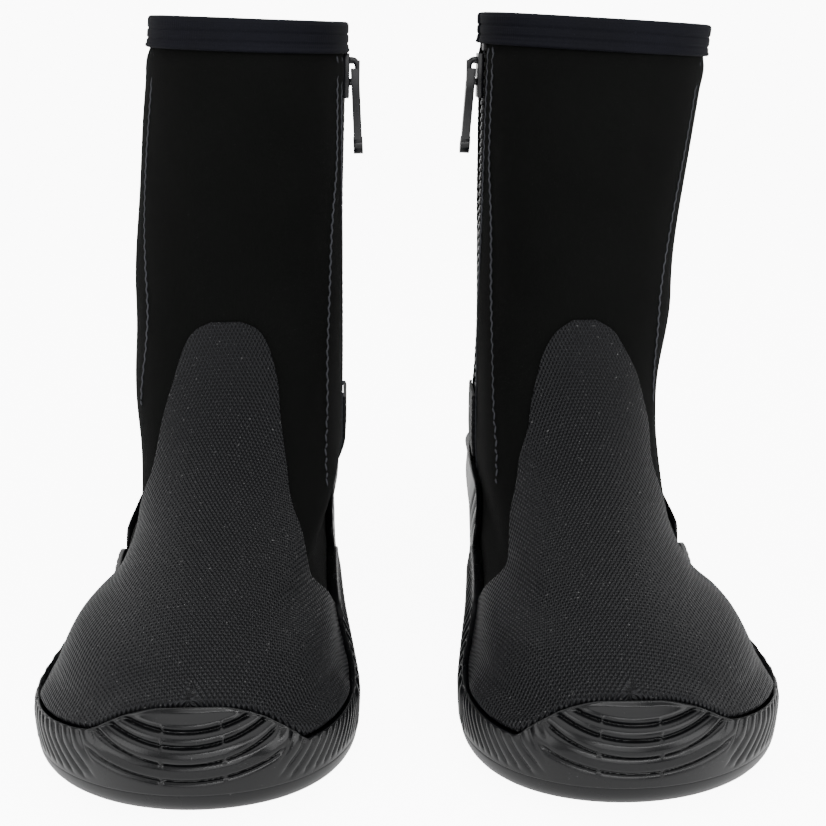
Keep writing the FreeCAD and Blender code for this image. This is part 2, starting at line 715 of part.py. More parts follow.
def zip_pull(boot):
    # a tapered tab with two arms round the bridge, a cross bar and an eye at its end
    body = doc.addObject("PartDesign::Body", boot + "_zip_pull")
    wide, long = size("pull_half_width"), size("pull_length")
    slot = size("bridge_half_width") + 0.6
    end = -long + 3.6
    half_outline = [(slot, -6.2), (slot, 1.1), (wide, 1.1), (wide, -9), (wide - 1, end)]
    points = half_outline + [(-x, z) for x, z in reversed(half_outline)]
    tab = body_sketch(body, boot + "_pull_tab", "YZ_Plane")
    for (x0, z0), (x1, z1) in zip(points, points[1:] + points[:1]):
        tab.addGeometry(Part.LineSegment(Vector(x0, z0, 0), Vector(x1, z1, 0)))
    pad = body.newObject("PartDesign::Pad", boot + "_pull_pad")
    pad.Profile = tab
    pad.Midplane = True
    pad.setExpression("Length", "Sizes.pull_thickness")
    knob = body_sketch(body, boot + "_pull_knob", "YZ_Plane")
    centre_circle(knob, "knob", end, 3.6, "Sizes.pull_half_width + 0.2")
    knob_pad = body.newObject("PartDesign::Pad", boot + "_pull_knob_pad")
    knob_pad.Profile = knob
    knob_pad.Midplane = True
    knob_pad.setExpression("Length", "Sizes.pull_thickness + 0.5")
    pin = body_sketch(body, boot + "_pull_pin", "XZ_Plane")
    centre_circle(pin, "pin", 0, 0.8, "Sizes.pin_radius")
    pin_pad = body.newObject("PartDesign::Pad", boot + "_pull_pin_pad")
    pin_pad.Profile = pin
    pin_pad.Midplane = True
    pin_pad.setExpression("Length", "2 * Sizes.bridge_half_width + 2")
    eye = body_sketch(body, boot + "_pull_eye", "YZ_Plane")
    centre_circle(eye, "eye", end, 1.6, "Sizes.pull_eye")
    doc.recompute()
    before = pin_pad.Shape.Volume
    hole = body.newObject("PartDesign::Pocket", boot + "_pull_hole")
    hole.Profile = eye
    hole.Midplane = True
    hole.Length = 6
    doc.recompute()
    print(boot, "pull hole", round(before - hole.Shape.Volume, 2), "mm3")
    shift = FreeCAD.Placement(Vector(BOOTS[boot] * pivot_out, 0, bridge_middle), FreeCAD.Rotation())
    lean = FreeCAD.Rotation(Vector(0, 1, 0), -BOOTS[boot] * size(boot + "_pull_lean"))
    body.Placement = zip_frame[boot] * shift * FreeCAD.Placement(Vector(0, 0, 0), lean)
    nodes[boot + "_zip_pull"] = body


# ---------------------------------------------------------------- both boots
for boot in BOOTS:
    zip_frame[boot] = straight_zip(boot)
    sole_layers(boot)
    rubber_pieces(boot)
    upper_pieces(boot)
    collar_binding(boot)
    zip_rows(boot)
    zip_stops(boot)
    zip_slider(boot)
    zip_pull(boot)

doc.recompute()
for item in doc.Objects:
    if "Invalid" in item.State or "Error" in item.State:
        print("NOT WELL", item.Label, item.State)
for label, item in nodes.items():
    item.Label = label
    shape = item.Shape
    if shape.isNull() or not shape.isValid() or shape.Volume <= 0:
        print("BAD SHAPE", label)
    shape.exportStep("parts/%s.step" % label)
    print("%-26s %9.0f mm3 %d" % (label, shape.Volume, len(shape.Solids)))
print(len(nodes), "nodes")
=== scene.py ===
import math

import bmesh
import bpy
import numpy as np
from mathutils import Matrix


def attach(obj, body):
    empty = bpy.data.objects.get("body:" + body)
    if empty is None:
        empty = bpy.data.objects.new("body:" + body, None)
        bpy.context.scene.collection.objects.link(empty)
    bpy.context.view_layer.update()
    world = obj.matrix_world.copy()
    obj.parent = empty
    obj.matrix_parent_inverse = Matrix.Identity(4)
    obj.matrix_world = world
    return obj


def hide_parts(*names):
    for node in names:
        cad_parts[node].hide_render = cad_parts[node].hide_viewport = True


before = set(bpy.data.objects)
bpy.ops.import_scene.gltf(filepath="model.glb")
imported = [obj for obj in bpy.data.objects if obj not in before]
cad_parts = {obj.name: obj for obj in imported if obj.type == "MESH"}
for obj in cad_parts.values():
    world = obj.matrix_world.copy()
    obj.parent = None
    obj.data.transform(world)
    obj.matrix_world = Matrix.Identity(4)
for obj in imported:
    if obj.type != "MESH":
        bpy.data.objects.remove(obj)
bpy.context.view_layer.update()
mm = 0.001

# the foot shape at each height in mm: height, toe line, heel line, toe and heel rounding, and
# the half widths at ball and heel
footShape = {
    "stations": [
        (0, -281, -6, 60, 40, 48.5, 31), (8, -286, -3, 60, 40, 50, 33), (18, -287, 0, 61, 41, 50.5, 34.5),
        (28, -282, 0, 63, 41, 46.5, 35.5), (38, -269, -1, 70, 42, 43.5, 36), (48, -246, -3, 82, 43, 33, 36),
        (59, -209, -7, 85, 44, 28.5, 35), (72, -173, -12, 76, 45, 31, 37), (88, -147, -17, 62, 47, 38, 39),
        (108, -130, -19, 52, 49, 40, 40.5), (130, -121, -17, 46, 50, 41, 41.5),
        (157, -117, -13, 45, 50, 42, 42), (188, -115, -9, 45, 52, 42, 42), (235, -113, -5, 46, 53, 42, 42)],
    "centre": [(-290, 3), (-235, -2), (-180, -3), (-120, -1), (-80, 0), (0, 0)],
    "stance": 69.5, "pairShift": 2.17, "heelLine": 143,
    "springStart": 205, "springRadius": 560,
}
# each boot leans and widens in its own way: half widths, sideways lean, drop of the collar, turn of the toe
bootSizes = {
    "right": {"sign": 1, "ankle": 44.4, "calf": 39.0, "collar": 39.6, "leanMid": -3.1, "leanTop": 7.9,
              "drop": 2.6, "toeIn": 0.0, "pullLean": 3.2, "seed": 3},
    "left": {"sign": -1, "ankle": 36.4, "calf": 45.4, "collar": 46.5, "leanMid": -0.7, "leanTop": -11.3,
             "drop": -5.2, "toeIn": 0.014, "pullLean": 4.0, "seed": 11},
}


def smoothStep(value):
    value = np.clip(value, 0, 1)
    return value * value * (3 - 2 * value)  # flat at both ends


def lineThrough(points):
    # a cubic between the points; its slope is never steeper than the neighbours allow, so none overshoots
    xs, ys = np.array(points, float).T
    step = np.diff(ys) / np.diff(xs)
    slope = np.zeros(len(xs))
    slope[0], slope[-1] = step[0], step[-1]
    before, after = step[:-1], step[1:]
    first, second = 2 * np.diff(xs)[1:] + np.diff(xs)[:-1], np.diff(xs)[1:] + 2 * np.diff(xs)[:-1]
    same = before * after > 0
    slope[1:-1][same] = ((first + second)[same]
                         / (first[same] / before[same] + second[same] / after[same]))

    def at(x):
        x = np.clip(x, xs[0], xs[-1])
        i = np.clip(np.searchsorted(xs, x) - 1, 0, len(xs) - 2)
        width = xs[i + 1] - xs[i]
        t = (x - xs[i]) / width
        return (ys[i] * (1 + 2 * t) * (1 - t) ** 2 + slope[i] * width * t * (1 - t) ** 2
                + ys[i + 1] * t * t * (3 - 2 * t) + slope[i + 1] * width * t * t * (t - 1))

    return at


stations = np.array(footShape["stations"], float)
toeLine, backLine, toeRound, backRound, ballHalf, heelHalf = [
    lineThrough(stations[:, (0, k)]) for k in range(1, 7)]
centreLine = lineThrough(footShape["centre"])
for boot, own in bootSizes.items():
    own["half"] = lineThrough([(54, own["ankle"]), (72, own["ankle"]), (125, own["calf"]),
                               (235, own["collar"])])
    own["lean"] = lineThrough([(54, 0), (72, 0), (125, own["leanMid"]), (235, own["leanTop"])])
    own["zipLow"] = own["half"](80.0) + own["lean"](80.0)
    own["zipClimb"] = (own["collar"] + own["leanTop"] - own["zipLow"]) / 155


def springRise(y):
    # an arc that starts level: radius less the root of radius squared less run squared
    run = np.clip(-footShape["springStart"] - y, 0, None)
    return footShape["springRadius"] - np.sqrt(footShape["springRadius"] ** 2 - run * run)


def footPoint(boot, turn, height):
    # turn 0 is the toe, +90 the inner side, 180 the heel; rounded caps close the half width at both ends
    own = bootSizes[boot]
    angle = np.radians(turn)
    toe, back = toeLine(height), backLine(height)
    y = toe + (back - toe) * (1 - np.cos(angle)) / 2
    toeCap = np.clip(1 - np.abs(1 - np.minimum((y - toe) / toeRound(height), 1)) ** 2.25, 0, 1)
    backCap = np.clip(1 - (1 - np.minimum((back - y) / backRound(height), 1)) ** 2, 0, 1)
    shaft = smoothStep((height - 54) / 54)
    wide = own["half"](height)
    ball = ballHalf(height) * (1 - shaft) + wide * shaft
    heel = heelHalf(height) * (1 - shaft) + wide * shaft
    half = heel + (ball - heel) * smoothStep((-45 - y) / 210)
    inner = np.sin(angle) > 0
    waist = 7.7 * np.exp(-((y + 178) / 31) ** 2) * smoothStep((68 - height) / 32)
    straight = own["zipLow"] + own["zipClimb"] * (height - 80) - own["lean"](height)
    half = np.where(inner, half + (straight - half) * smoothStep((height - 35) / 25), half - waist)
    side = half * np.sqrt(toeCap * backCap) * np.where(inner, 1, -1)
    centre = centreLine(y) + own["toeIn"] * (-120 - y)
    x = centre * (1 - shaft) + own["lean"](height) + side
    tilt = own["drop"] / (2 * own["collar"])
    z = height - tilt * side * smoothStep((height - 120) / 110)
    z = z + springRise(y) * (1 - smoothStep((height - 20) / 50))
    return np.stack([x, y, z], -1)


def toWorld(boot, point):
    x = bootSizes[boot]["sign"] * (point[..., 0] - footShape["stance"]) - footShape["pairShift"]
    return np.stack([x, point[..., 1] + footShape["heelLine"], point[..., 2]], -1) * mm


def skinPoint(boot, turn, height, depth):
    # the foot shape moved out along its own normal by depth, as metres in the frame
    turn, height, depth = np.broadcast_arrays(*[np.asarray(v, float) for v in (turn, height, depth)])
    along = footPoint(boot, turn + 0.1, height) - footPoint(boot, turn - 0.1, height)
    upward = footPoint(boot, turn, height + 0.05) - footPoint(boot, turn, height - 0.05)
    normal = np.cross(along, upward)
    normal /= np.maximum(np.linalg.norm(normal, axis=-1, keepdims=True), 1e-9)
    return toWorld(boot, footPoint(boot, turn, height) + normal * depth[..., None])


def turnAt(distance, height, inner):
    # the turn whose point lies this far in front of the heel
    toe, back = toeLine(height), backLine(height)
    turn = np.degrees(np.arccos(np.clip(1 - 2 * (-distance - toe) / (back - toe), -1, 1)))
    return turn if inner else -turn


def addMesh(name, points, faces, uvs=None, smooth=True):
    # one mesh object at the origin; uvs are given per point, and the faces are turned outwards
    points, faces = np.asarray(points, float), np.asarray(faces, int)
    a, b, c = points[faces[:, 0]], points[faces[:, 1]], points[faces[:, 2]]
    d = points[faces[:, -1]]
    middle = points.mean(0)
    volume = (np.einsum("ij,ij->", a - middle, np.cross(b - middle, c - middle))
              + np.einsum("ij,ij->", a - middle, np.cross(c - middle, d - middle)))
    if volume < 0:
        faces = faces[:, ::-1]
    mesh = bpy.data.meshes.new(name)
    mesh.vertices.add(len(points))
    mesh.vertices.foreach_set("co", points.astype(np.float32).ravel())
    mesh.loops.add(faces.size)
    mesh.loops.foreach_set("vertex_index", faces.astype(np.int32).ravel())
    mesh.polygons.add(len(faces))
    mesh.polygons.foreach_set("loop_start", np.arange(0, faces.size, faces.shape[1], dtype=np.int32))
    mesh.update(calc_edges=True)
    if uvs is not None:
        layer = mesh.uv_layers.new(name="lay")
        layer.data.foreach_set("uv", np.asarray(uvs, np.float32)[faces.ravel()].ravel())
    mesh.polygons.foreach_set("use_smooth", np.full(len(faces), smooth))
    mesh.validate()
    piece = bpy.data.objects.new(name, mesh)
    bpy.context.scene.collection.objects.link(piece)
    return piece


def ringFaces(rings, count, capped=True, closed=False):
    # quads between neighbouring rings of count points, and quads across the first and last ring
    i, j = np.meshgrid(np.arange(count), np.arange(rings if closed else rings - 1))
    i, j = i.ravel(), j.ravel()
    k, n = (i + 1) % count, (j + 1) % rings
    faces = np.stack([j * count + i, j * count + k, n * count + k, n * count + i], 1)
    if not capped or closed:
        return faces
    s = np.arange(count // 2 - 1)
    cap = np.stack([s, count - 1 - s, count - 2 - s, s + 1], 1)
    return np.vstack([faces, cap, cap[:, ::-1] + (rings - 1) * count])


def shares(count, length, radius):
    # even steps from 0 to 1 with closer ones inside the rounded edges
    edge = np.array([0, 0.04, 0.15, 0.35, 0.65]) * radius / length
    return np.concatenate([edge, np.linspace(radius / length, 1 - radius / length, count), 1 - edge[::-1]])


def edgeDrop(distance, radius):
    # how far a quarter round edge lies under its face: radius less radius times the root of 1 less the
    # square of the share of the radius that is left
    left = np.clip(1 - distance / radius, 0, 1)
    return radius * (1 - np.sqrt(1 - left ** 2))


def plateMesh(name, boot, turns, levels, inside, outside, size, radius=0.8, counts=(60, 60), relief=None,
              lay=None):
    # a curved plate with rounded edges: turns(height) and levels(turn) give its four edges, and size
    # its spans in mm
    across, upward = shares(counts[0], size[0], radius), shares(counts[1], size[1], radius)
    u, v = np.meshgrid(across, upward)
    low, high = levels
    first, last = turns
    turn = first(np.full_like(u, 60.0)) + (last(np.full_like(u, 60.0)) - first(np.full_like(u, 60.0))) * u
    for _ in range(3):
        height = low(turn) + (high(turn) - low(turn)) * v
        turn = first(height) + (last(height) - first(height)) * u
    near = np.minimum(np.minimum(u, 1 - u) * size[0], np.minimum(v, 1 - v) * size[1])
    rise = 0 if relief is None else relief(turn, height, u, v)
    face = outside - edgeDrop(near, radius) + rise * smoothStep(near / (2 * radius))
    outer, inner = skinPoint(boot, turn, height, face), skinPoint(boot, turn, height, inside)
    stepU = np.linalg.norm(np.diff(outer, axis=1), axis=-1)
    stepV = np.linalg.norm(np.diff(outer, axis=0), axis=-1)
    lengthU = np.concatenate([np.zeros((len(v), 1)), np.cumsum(stepU, 1)], 1)
    lengthU -= lengthU[:, len(across) // 2:len(across) // 2 + 1]
    lengthV = np.concatenate([np.zeros((1, len(across))), np.cumsum(stepV, 0)], 0)
    cloth = np.stack([lengthU, lengthV], -1) if lay is None else lay(outer)
    ring = np.concatenate([outer, inner[:, ::-1]], 1)
    uvs = np.concatenate([cloth, cloth[:, ::-1]], 1)
    count = ring.shape[1]
    return addMesh(name, ring.reshape(-1, 3), ringFaces(len(ring), count), uvs.reshape(-1, 2))


def upright(distance, inner, lap=0):
    return lambda height: turnAt(distance, height, inner) + lap


def level(value):
    return lambda turn: np.full_like(np.asarray(turn, float), value)


def finish(piece, boot, material, body=None, nodes=()):
    piece.data.materials.append(materials[material])
    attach(piece, body or boot + "_boot")
    if nodes:
        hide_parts(*nodes)
    return piece


# ---- finishes
def newGroup(name, inputs, outputs):
    group = bpy.data.node_groups.new(name, "ShaderNodeTree")
    for label, kind, value in inputs:
        socket = group.interface.new_socket(name=label, in_out="INPUT", socket_type=kind)
        if value is not None:
            socket.default_value = value
    for label, kind in outputs:
        group.interface.new_socket(name=label, in_out="OUTPUT", socket_type=kind)
    return group, group.nodes.new("NodeGroupInput"), group.nodes.new("NodeGroupOutput")


def math2(tree, how, a, b=None, c=None):
    node = tree.nodes.new("ShaderNodeMath")
    node.operation = how
    for i, value in enumerate((a, b, c)):
        if value is None:
            continue
        if isinstance(value, (int, float)):
            node.inputs[i].default_value = value
        else:
            tree.links.new(value, node.inputs[i])
    return node.outputs[0]


def hatchGroup():
    # two sets of slanting ridges from the piece's own lay: half the product of two raised sines, in mm of lay
    tree, inp, out = newGroup("diagonalHatch", [
        ("Lay", "NodeSocketVector", None), ("Across", "NodeSocketFloat", 1.5),
        ("Along", "NodeSocketFloat", 3.0),
        ("Warp", "NodeSocketFloat", 0.3)], [("Height", "NodeSocketFloat"), ("PaintedShadeMask", "NodeSocketFloat")])
    noise = tree.nodes.new("ShaderNodeTexNoise")
    noise.inputs["Scale"].default_value = 90
    noise.inputs["Detail"].default_value = 2
    tree.links.new(inp.outputs["Lay"], noise.inputs["Vector"])
    split = tree.nodes.new("ShaderNodeSeparateXYZ")
    tree.links.new(inp.outputs["Lay"], split.inputs[0])
    warp = math2(tree, "MULTIPLY", math2(tree, "SUBTRACT", noise.outputs[0], 0.5), inp.outputs["Warp"])
    x = math2(tree, "MULTIPLY", split.outputs[0], 1000)
    y = math2(tree, "MULTIPLY", split.outputs[1], 1000)
    across = math2(tree, "DIVIDE", x, inp.outputs["Across"])
    along = math2(tree, "DIVIDE", y, inp.outputs["Along"])
    waves = []
    for how in ("ADD", "SUBTRACT"):
        turns = math2(tree, "ADD", math2(tree, how, across, along), warp)
        waves.append(math2(tree, "COSINE", math2(tree, "MULTIPLY", turns, 2 * math.pi)))
    both = math2(tree, "MULTIPLY", math2(tree, "ADD", waves[0], waves[1]), 0.25)
    height = math2(tree, "ADD", both, 0.5)
    tree.links.new(height, out.inputs["Height"])
    # the second output, the square of the depth below the ridges, is a mask for painted shade in the valleys
    tree.links.new(math2(tree, "POWER", math2(tree, "SUBTRACT", 1, height), 2), out.inputs["PaintedShadeMask"])
    return tree


def knitGroup():
    # fine knit: rows and wales of small loops on the lay, pitch in mm
    tree, inp, out = newGroup("fineKnit", [
        ("Lay", "NodeSocketVector", None), ("Pitch", "NodeSocketFloat", 0.7)],
        [("Height", "NodeSocketFloat")])
    split = tree.nodes.new("ShaderNodeSeparateXYZ")
    tree.links.new(inp.outputs["Lay"], split.inputs[0])
    x = math2(tree, "DIVIDE", math2(tree, "MULTIPLY", split.outputs[0], 1000), inp.outputs["Pitch"])
    y = math2(tree, "DIVIDE", math2(tree, "MULTIPLY", split.outputs[1], 1000), inp.outputs["Pitch"])
    wale = math2(tree, "COSINE", math2(tree, "MULTIPLY", x, 2 * math.pi))
    bent = math2(tree, "ADD", y, math2(tree, "MULTIPLY", math2(tree, "ABSOLUTE", wale), 0.35))
    row = math2(tree, "COSINE", math2(tree, "MULTIPLY", bent, 2 * math.pi))
    both = math2(tree, "MULTIPLY", math2(tree, "ADD", row, wale), 0.25)
    tree.links.new(math2(tree, "ADD", both, 0.5), out.inputs["Height"])
    return tree


def dustGroup():
    # pale specks and soft patches: sharp peaks of one noise, and a slow second noise
    tree, inp, out = newGroup("dust", [
        ("Place", "NodeSocketVector", None), ("Size", "NodeSocketFloat", 1400.0),
        ("Rare", "NodeSocketFloat", 0.74)],
        [("Specks", "NodeSocketFloat"), ("Patches", "NodeSocketFloat")])
    specks = tree.nodes.new("ShaderNodeTexNoise")
    specks.inputs["Detail"].default_value = 1
    tree.links.new(inp.outputs["Place"], specks.inputs["Vector"])
    tree.links.new(inp.outputs["Size"], specks.inputs["Scale"])
    over = math2(tree, "SUBTRACT", specks.outputs[0], inp.outputs["Rare"])
    sharp = tree.nodes.new("ShaderNodeClamp")
    tree.links.new(math2(tree, "MULTIPLY", over, 14), sharp.inputs[0])
    tree.links.new(sharp.outputs[0], out.inputs["Specks"])
    patches = tree.nodes.new("ShaderNodeTexNoise")
    patches.inputs["Scale"].default_value = 26
    patches.inputs["Detail"].default_value = 4
    tree.links.new(inp.outputs["Place"], patches.inputs["Vector"])
    tree.links.new(patches.outputs[0], out.inputs["Patches"])
    return tree


groups = {"hatch": hatchGroup(), "knit": knitGroup(), "dust": dustGroup()}
materials = {}


def startMaterial(name, rough, coat=0.0, specular=0.5):
    material = bpy.data.materials.new(name)
    material.use_nodes = True
    tree = material.node_tree
    shader = tree.nodes["Principled BSDF"]
    shader.inputs["Roughness"].default_value = rough
    shader.inputs["Coat Weight"].default_value = coat
    shader.inputs["Coat Roughness"].default_value = 0.2
    shader.inputs["Specular IOR Level"].default_value = specular
    place = tree.nodes.new("ShaderNodeTexCoord")
    materials[name] = material
    return tree, shader, place


def useGroup(tree, key, **values):
    node = tree.nodes.new("ShaderNodeGroup")
    node.node_tree = groups[key]
    for label, value in values.items():
        if isinstance(value, (int, float)):
            node.inputs[label].default_value = value
        else:
            tree.links.new(value, node.inputs[label])
    return node


def mixColour(tree, factor, first, second):
    node = tree.nodes.new("ShaderNodeMix")
    node.data_type = "RGBA"
    tree.links.new(factor, node.inputs[0])
    for socket, value in ((node.inputs[6], first), (node.inputs[7], second)):
        if isinstance(value, tuple):
            socket.default_value = (*value, 1)
        else:
            tree.links.new(value, socket)
    return node.outputs[2]


def bumpOn(tree, shader, height, strength, distance, before=None):
    bump = tree.nodes.new("ShaderNodeBump")
    bump.inputs["Strength"].default_value = strength
    bump.inputs["Distance"].default_value = distance
    tree.links.new(height, bump.inputs["Height"])
    if before is not None:
        tree.links.new(before, bump.inputs["Normal"])
    tree.links.new(bump.outputs[0], shader.inputs["Normal"])
    return bump.outputs[0]


finishes = {
    "jersey": {"dark": (0.0014, 0.0016, 0.0014), "light": (0.0032, 0.0034, 0.0032),
               "rough": 0.95, "knit": 0.55, "specular": 0.07},
    "binding": {"dark": (0.0012, 0.0013, 0.0024), "light": (0.0034, 0.0037, 0.0070),
                "rough": 0.85, "knit": 1.1, "specular": 0.12},
    "tape": {"dark": (0.002, 0.002, 0.003), "light": (0.006, 0.006, 0.008),
             "rough": 0.85, "knit": 0.9, "specular": 0.15},
    "lining": {"dark": (0.003, 0.003, 0.0035), "light": (0.008, 0.008, 0.009),
               "rough": 0.95, "knit": 1.3, "specular": 0.1},
}


def clothMaterial(name, dark, light, rough, knit, specular, depth=0.00018):
    tree, shader, place = startMaterial(name, rough, specular=specular)
    pattern = useGroup(tree, "knit", Lay=place.outputs["UV"], Pitch=knit)
    dust = useGroup(tree, "dust", Place=place.outputs["Object"], Size=1500.0, Rare=0.78)
    mixed = mixColour(tree, dust.outputs["Patches"], dark, light)
    lit = mixColour(tree, dust.outputs["Specks"], mixed, tuple(2 * v + 0.012 for v in light))
    tree.links.new(lit, shader.inputs["Base Color"])
    bumpOn(tree, shader, pattern.outputs["Height"], 0.6, depth)


for name, look in finishes.items():
    clothMaterial(name, **look)

# the vamp's colours: lighter on the hatch ridges as painted light and darker in its valleys as painted shade,
# with random worn patches and pale dust specks
vampLook = {
    "valleyPaintedShade": (0.0004, 0.0004, 0.0005), "ridgePaintedLight": (0.0125, 0.0128, 0.0148), "worn": (0.0036, 0.0036, 0.0041),
    "speck": (0.10, 0.10, 0.10), "across": 1.5, "along": 3.0, "warp": 0.3, "rough": 0.46, "specular": 0.2,
    "relief": 0.0012,
}
tree, shader, place = startMaterial("vampRubber", vampLook["rough"], specular=vampLook["specular"])
hatch = useGroup(tree, "hatch", Lay=place.outputs["UV"], Across=vampLook["across"], Along=vampLook["along"],
                 Warp=vampLook["warp"])
dust = useGroup(tree, "dust", Place=place.outputs["Object"], Size=900.0, Rare=0.72)
# painted light and shade: the rubber's colour is lighter on the ridges and darker in the valleys of the
# hatch, following the valley mask
base = mixColour(tree, hatch.outputs["PaintedShadeMask"], vampLook["ridgePaintedLight"], vampLook["valleyPaintedShade"])
toned = mixColour(tree, math2(tree, "MULTIPLY", dust.outputs["Patches"], 0.5), base, vampLook["worn"])
specked = mixColour(tree, dust.outputs["Specks"], toned, vampLook["speck"])
tree.links.new(specked, shader.inputs["Base Color"])
bumpOn(tree, shader, hatch.outputs["Height"], 1.0, vampLook["relief"])


def rubberMaterial(name, colour, rough, coat):
    tree, shader, place = startMaterial(name, rough, coat=coat, specular=0.24)
    dust = useGroup(tree, "dust", Place=place.outputs["Object"], Size=1100.0, Rare=0.76)
    toned = mixColour(tree, dust.outputs["Patches"], colour, tuple(1.7 * v for v in colour))
    speck = tuple(v + 0.05 for v in colour)
    tree.links.new(mixColour(tree, dust.outputs["Specks"], toned, speck), shader.inputs["Base Color"])
    uneven = math2(tree, "ADD", math2(tree, "MULTIPLY", dust.outputs["Patches"], 0.3), rough - 0.15)
    tree.links.new(uneven, shader.inputs["Roughness"])
    grain = tree.nodes.new("ShaderNodeTexNoise")
    grain.inputs["Scale"].default_value = 1800
    grain.inputs["Detail"].default_value = 3
    tree.links.new(place.outputs["Object"], grain.inputs["Vector"])
    bumpOn(tree, shader, grain.outputs[0], 0.25, 0.0001)


rubberMaterial("mouldedRubber", (0.0012, 0.0013, 0.0016), 0.27, 0.12)
rubberMaterial("soleRubber", (0.0012, 0.0013, 0.0016), 0.30, 0.06)
rubberMaterial("foam", (0.005, 0.005, 0.006), 0.8, 0.0)
rubberMaterial("zipPlastic", (0.004, 0.004, 0.005), 0.34, 0.08)
rubberMaterial("sliderPlastic", (0.0016, 0.0016, 0.0026), 0.25, 0.12)
rubberMaterial("thread", (0.022, 0.023, 0.027), 0.7, 0.0)
print("finishes ready:", len(materials))

# ---- neoprene panels and the vamp
panelSize = {"bottom": 12.0, "top": 233.5, "thick": 5, "seam": 66, "seamHalf": 0.4, "zipHalf": 12,
             "zipBottom": 80}
toeRubber = {
    "line": [(-66, 26), (-52, 22), (-42, 20.6), (-35, 20.9), (-29, 21.6), (-23, 22.6), (-14, 28.6),
             (-6, 30.6), (0, 30.8), (6, 30.6), (14, 28.4), (20, 23.3), (25, 19.2), (30, 19.3), (42, 20.2),
             (52, 22), (66, 26)],
    "swell": 6, "swellFrom": 54, "swellTo": 97,
}
toeTop = lineThrough(toeRubber["line"])


def toeEdge(turn):
    # where the rubber ends below the vamp: the line at the toe, and a swell beside the ball of the foot
    away = np.abs(turn)
    swell = smoothStep((away - toeRubber["swellFrom"]) / 14) * smoothStep((toeRubber["swellTo"] - away) / 8)
    return toeTop(turn) + toeRubber["swell"] * swell


vampShape = {
    "inside": 0.35, "outside": 2.15, "top": 121, "gap": 0.12,
    "right": {
        "middle": [(26, 0), (40, -1), (60, -5), (72, -1.6), (86, -1.3), (98, 0.2), (112, 1.2), (121, 2.5)],
        "half": [(26, 80), (32, 68), (40, 60), (48, 54), (58, 47), (70, 36), (86, 28.6), (98, 24.8),
                 (112, 19), (118, 13.5), (121, 6)]},
    "left": {
        "middle": [(26, 0), (40, 1), (58, 1.6), (70, 1.6), (84, -3.6), (97, -3.5), (111, -1.6), (121, -1.8)],
        "half": [(26, 80), (32, 68), (40, 60), (48, 54), (58, 49), (70, 40.4), (84, 34.8), (97, 28.6),
                 (111, 19), (116.6, 13.5), (121, 5)]},
}


def slotHalf(height):
    # half the gap between the panels: thin below the zip, wide beside it
    opening = smoothStep((height - panelSize["zipBottom"] + 7) / 9)
    return panelSize["seamHalf"] + (panelSize["zipHalf"] - panelSize["seamHalf"]) * opening


def panelRelief(seed):
    # slow waves for a soft wall, a swell under the collar band and a pinch where it is sewn in
    shift = np.random.default_rng(seed).uniform(0, 6.28, 6)

    def relief(turn, height, u, v):
        t, h = np.radians(turn), height
        waves = (0.35 * np.sin(2 * t + h / 21 + shift[0]) * np.sin(h / 33 + shift[1])
                 + 0.22 * np.sin(5 * t - h / 13 + shift[2]) + 0.12 * np.sin(9 * t + h / 9 + shift[3]))
        folds = 0.5 * np.sin(h / 5.2 + 1.5 * np.sin(t + shift[4])) * np.exp(-((h - 86) / 20) ** 2)
        back = smoothStep((np.abs(np.mod(turn, 360) - 180) - 70) / -60)
        swell = 1.0 * np.exp(-((h - 217.5) / 4.5) ** 2) - 1.1 * smoothStep((h - 220) / 4)
        return waves * smoothStep((h - 40) / 40) * 0.8 + folds * back + 0.5 * swell

    return relief


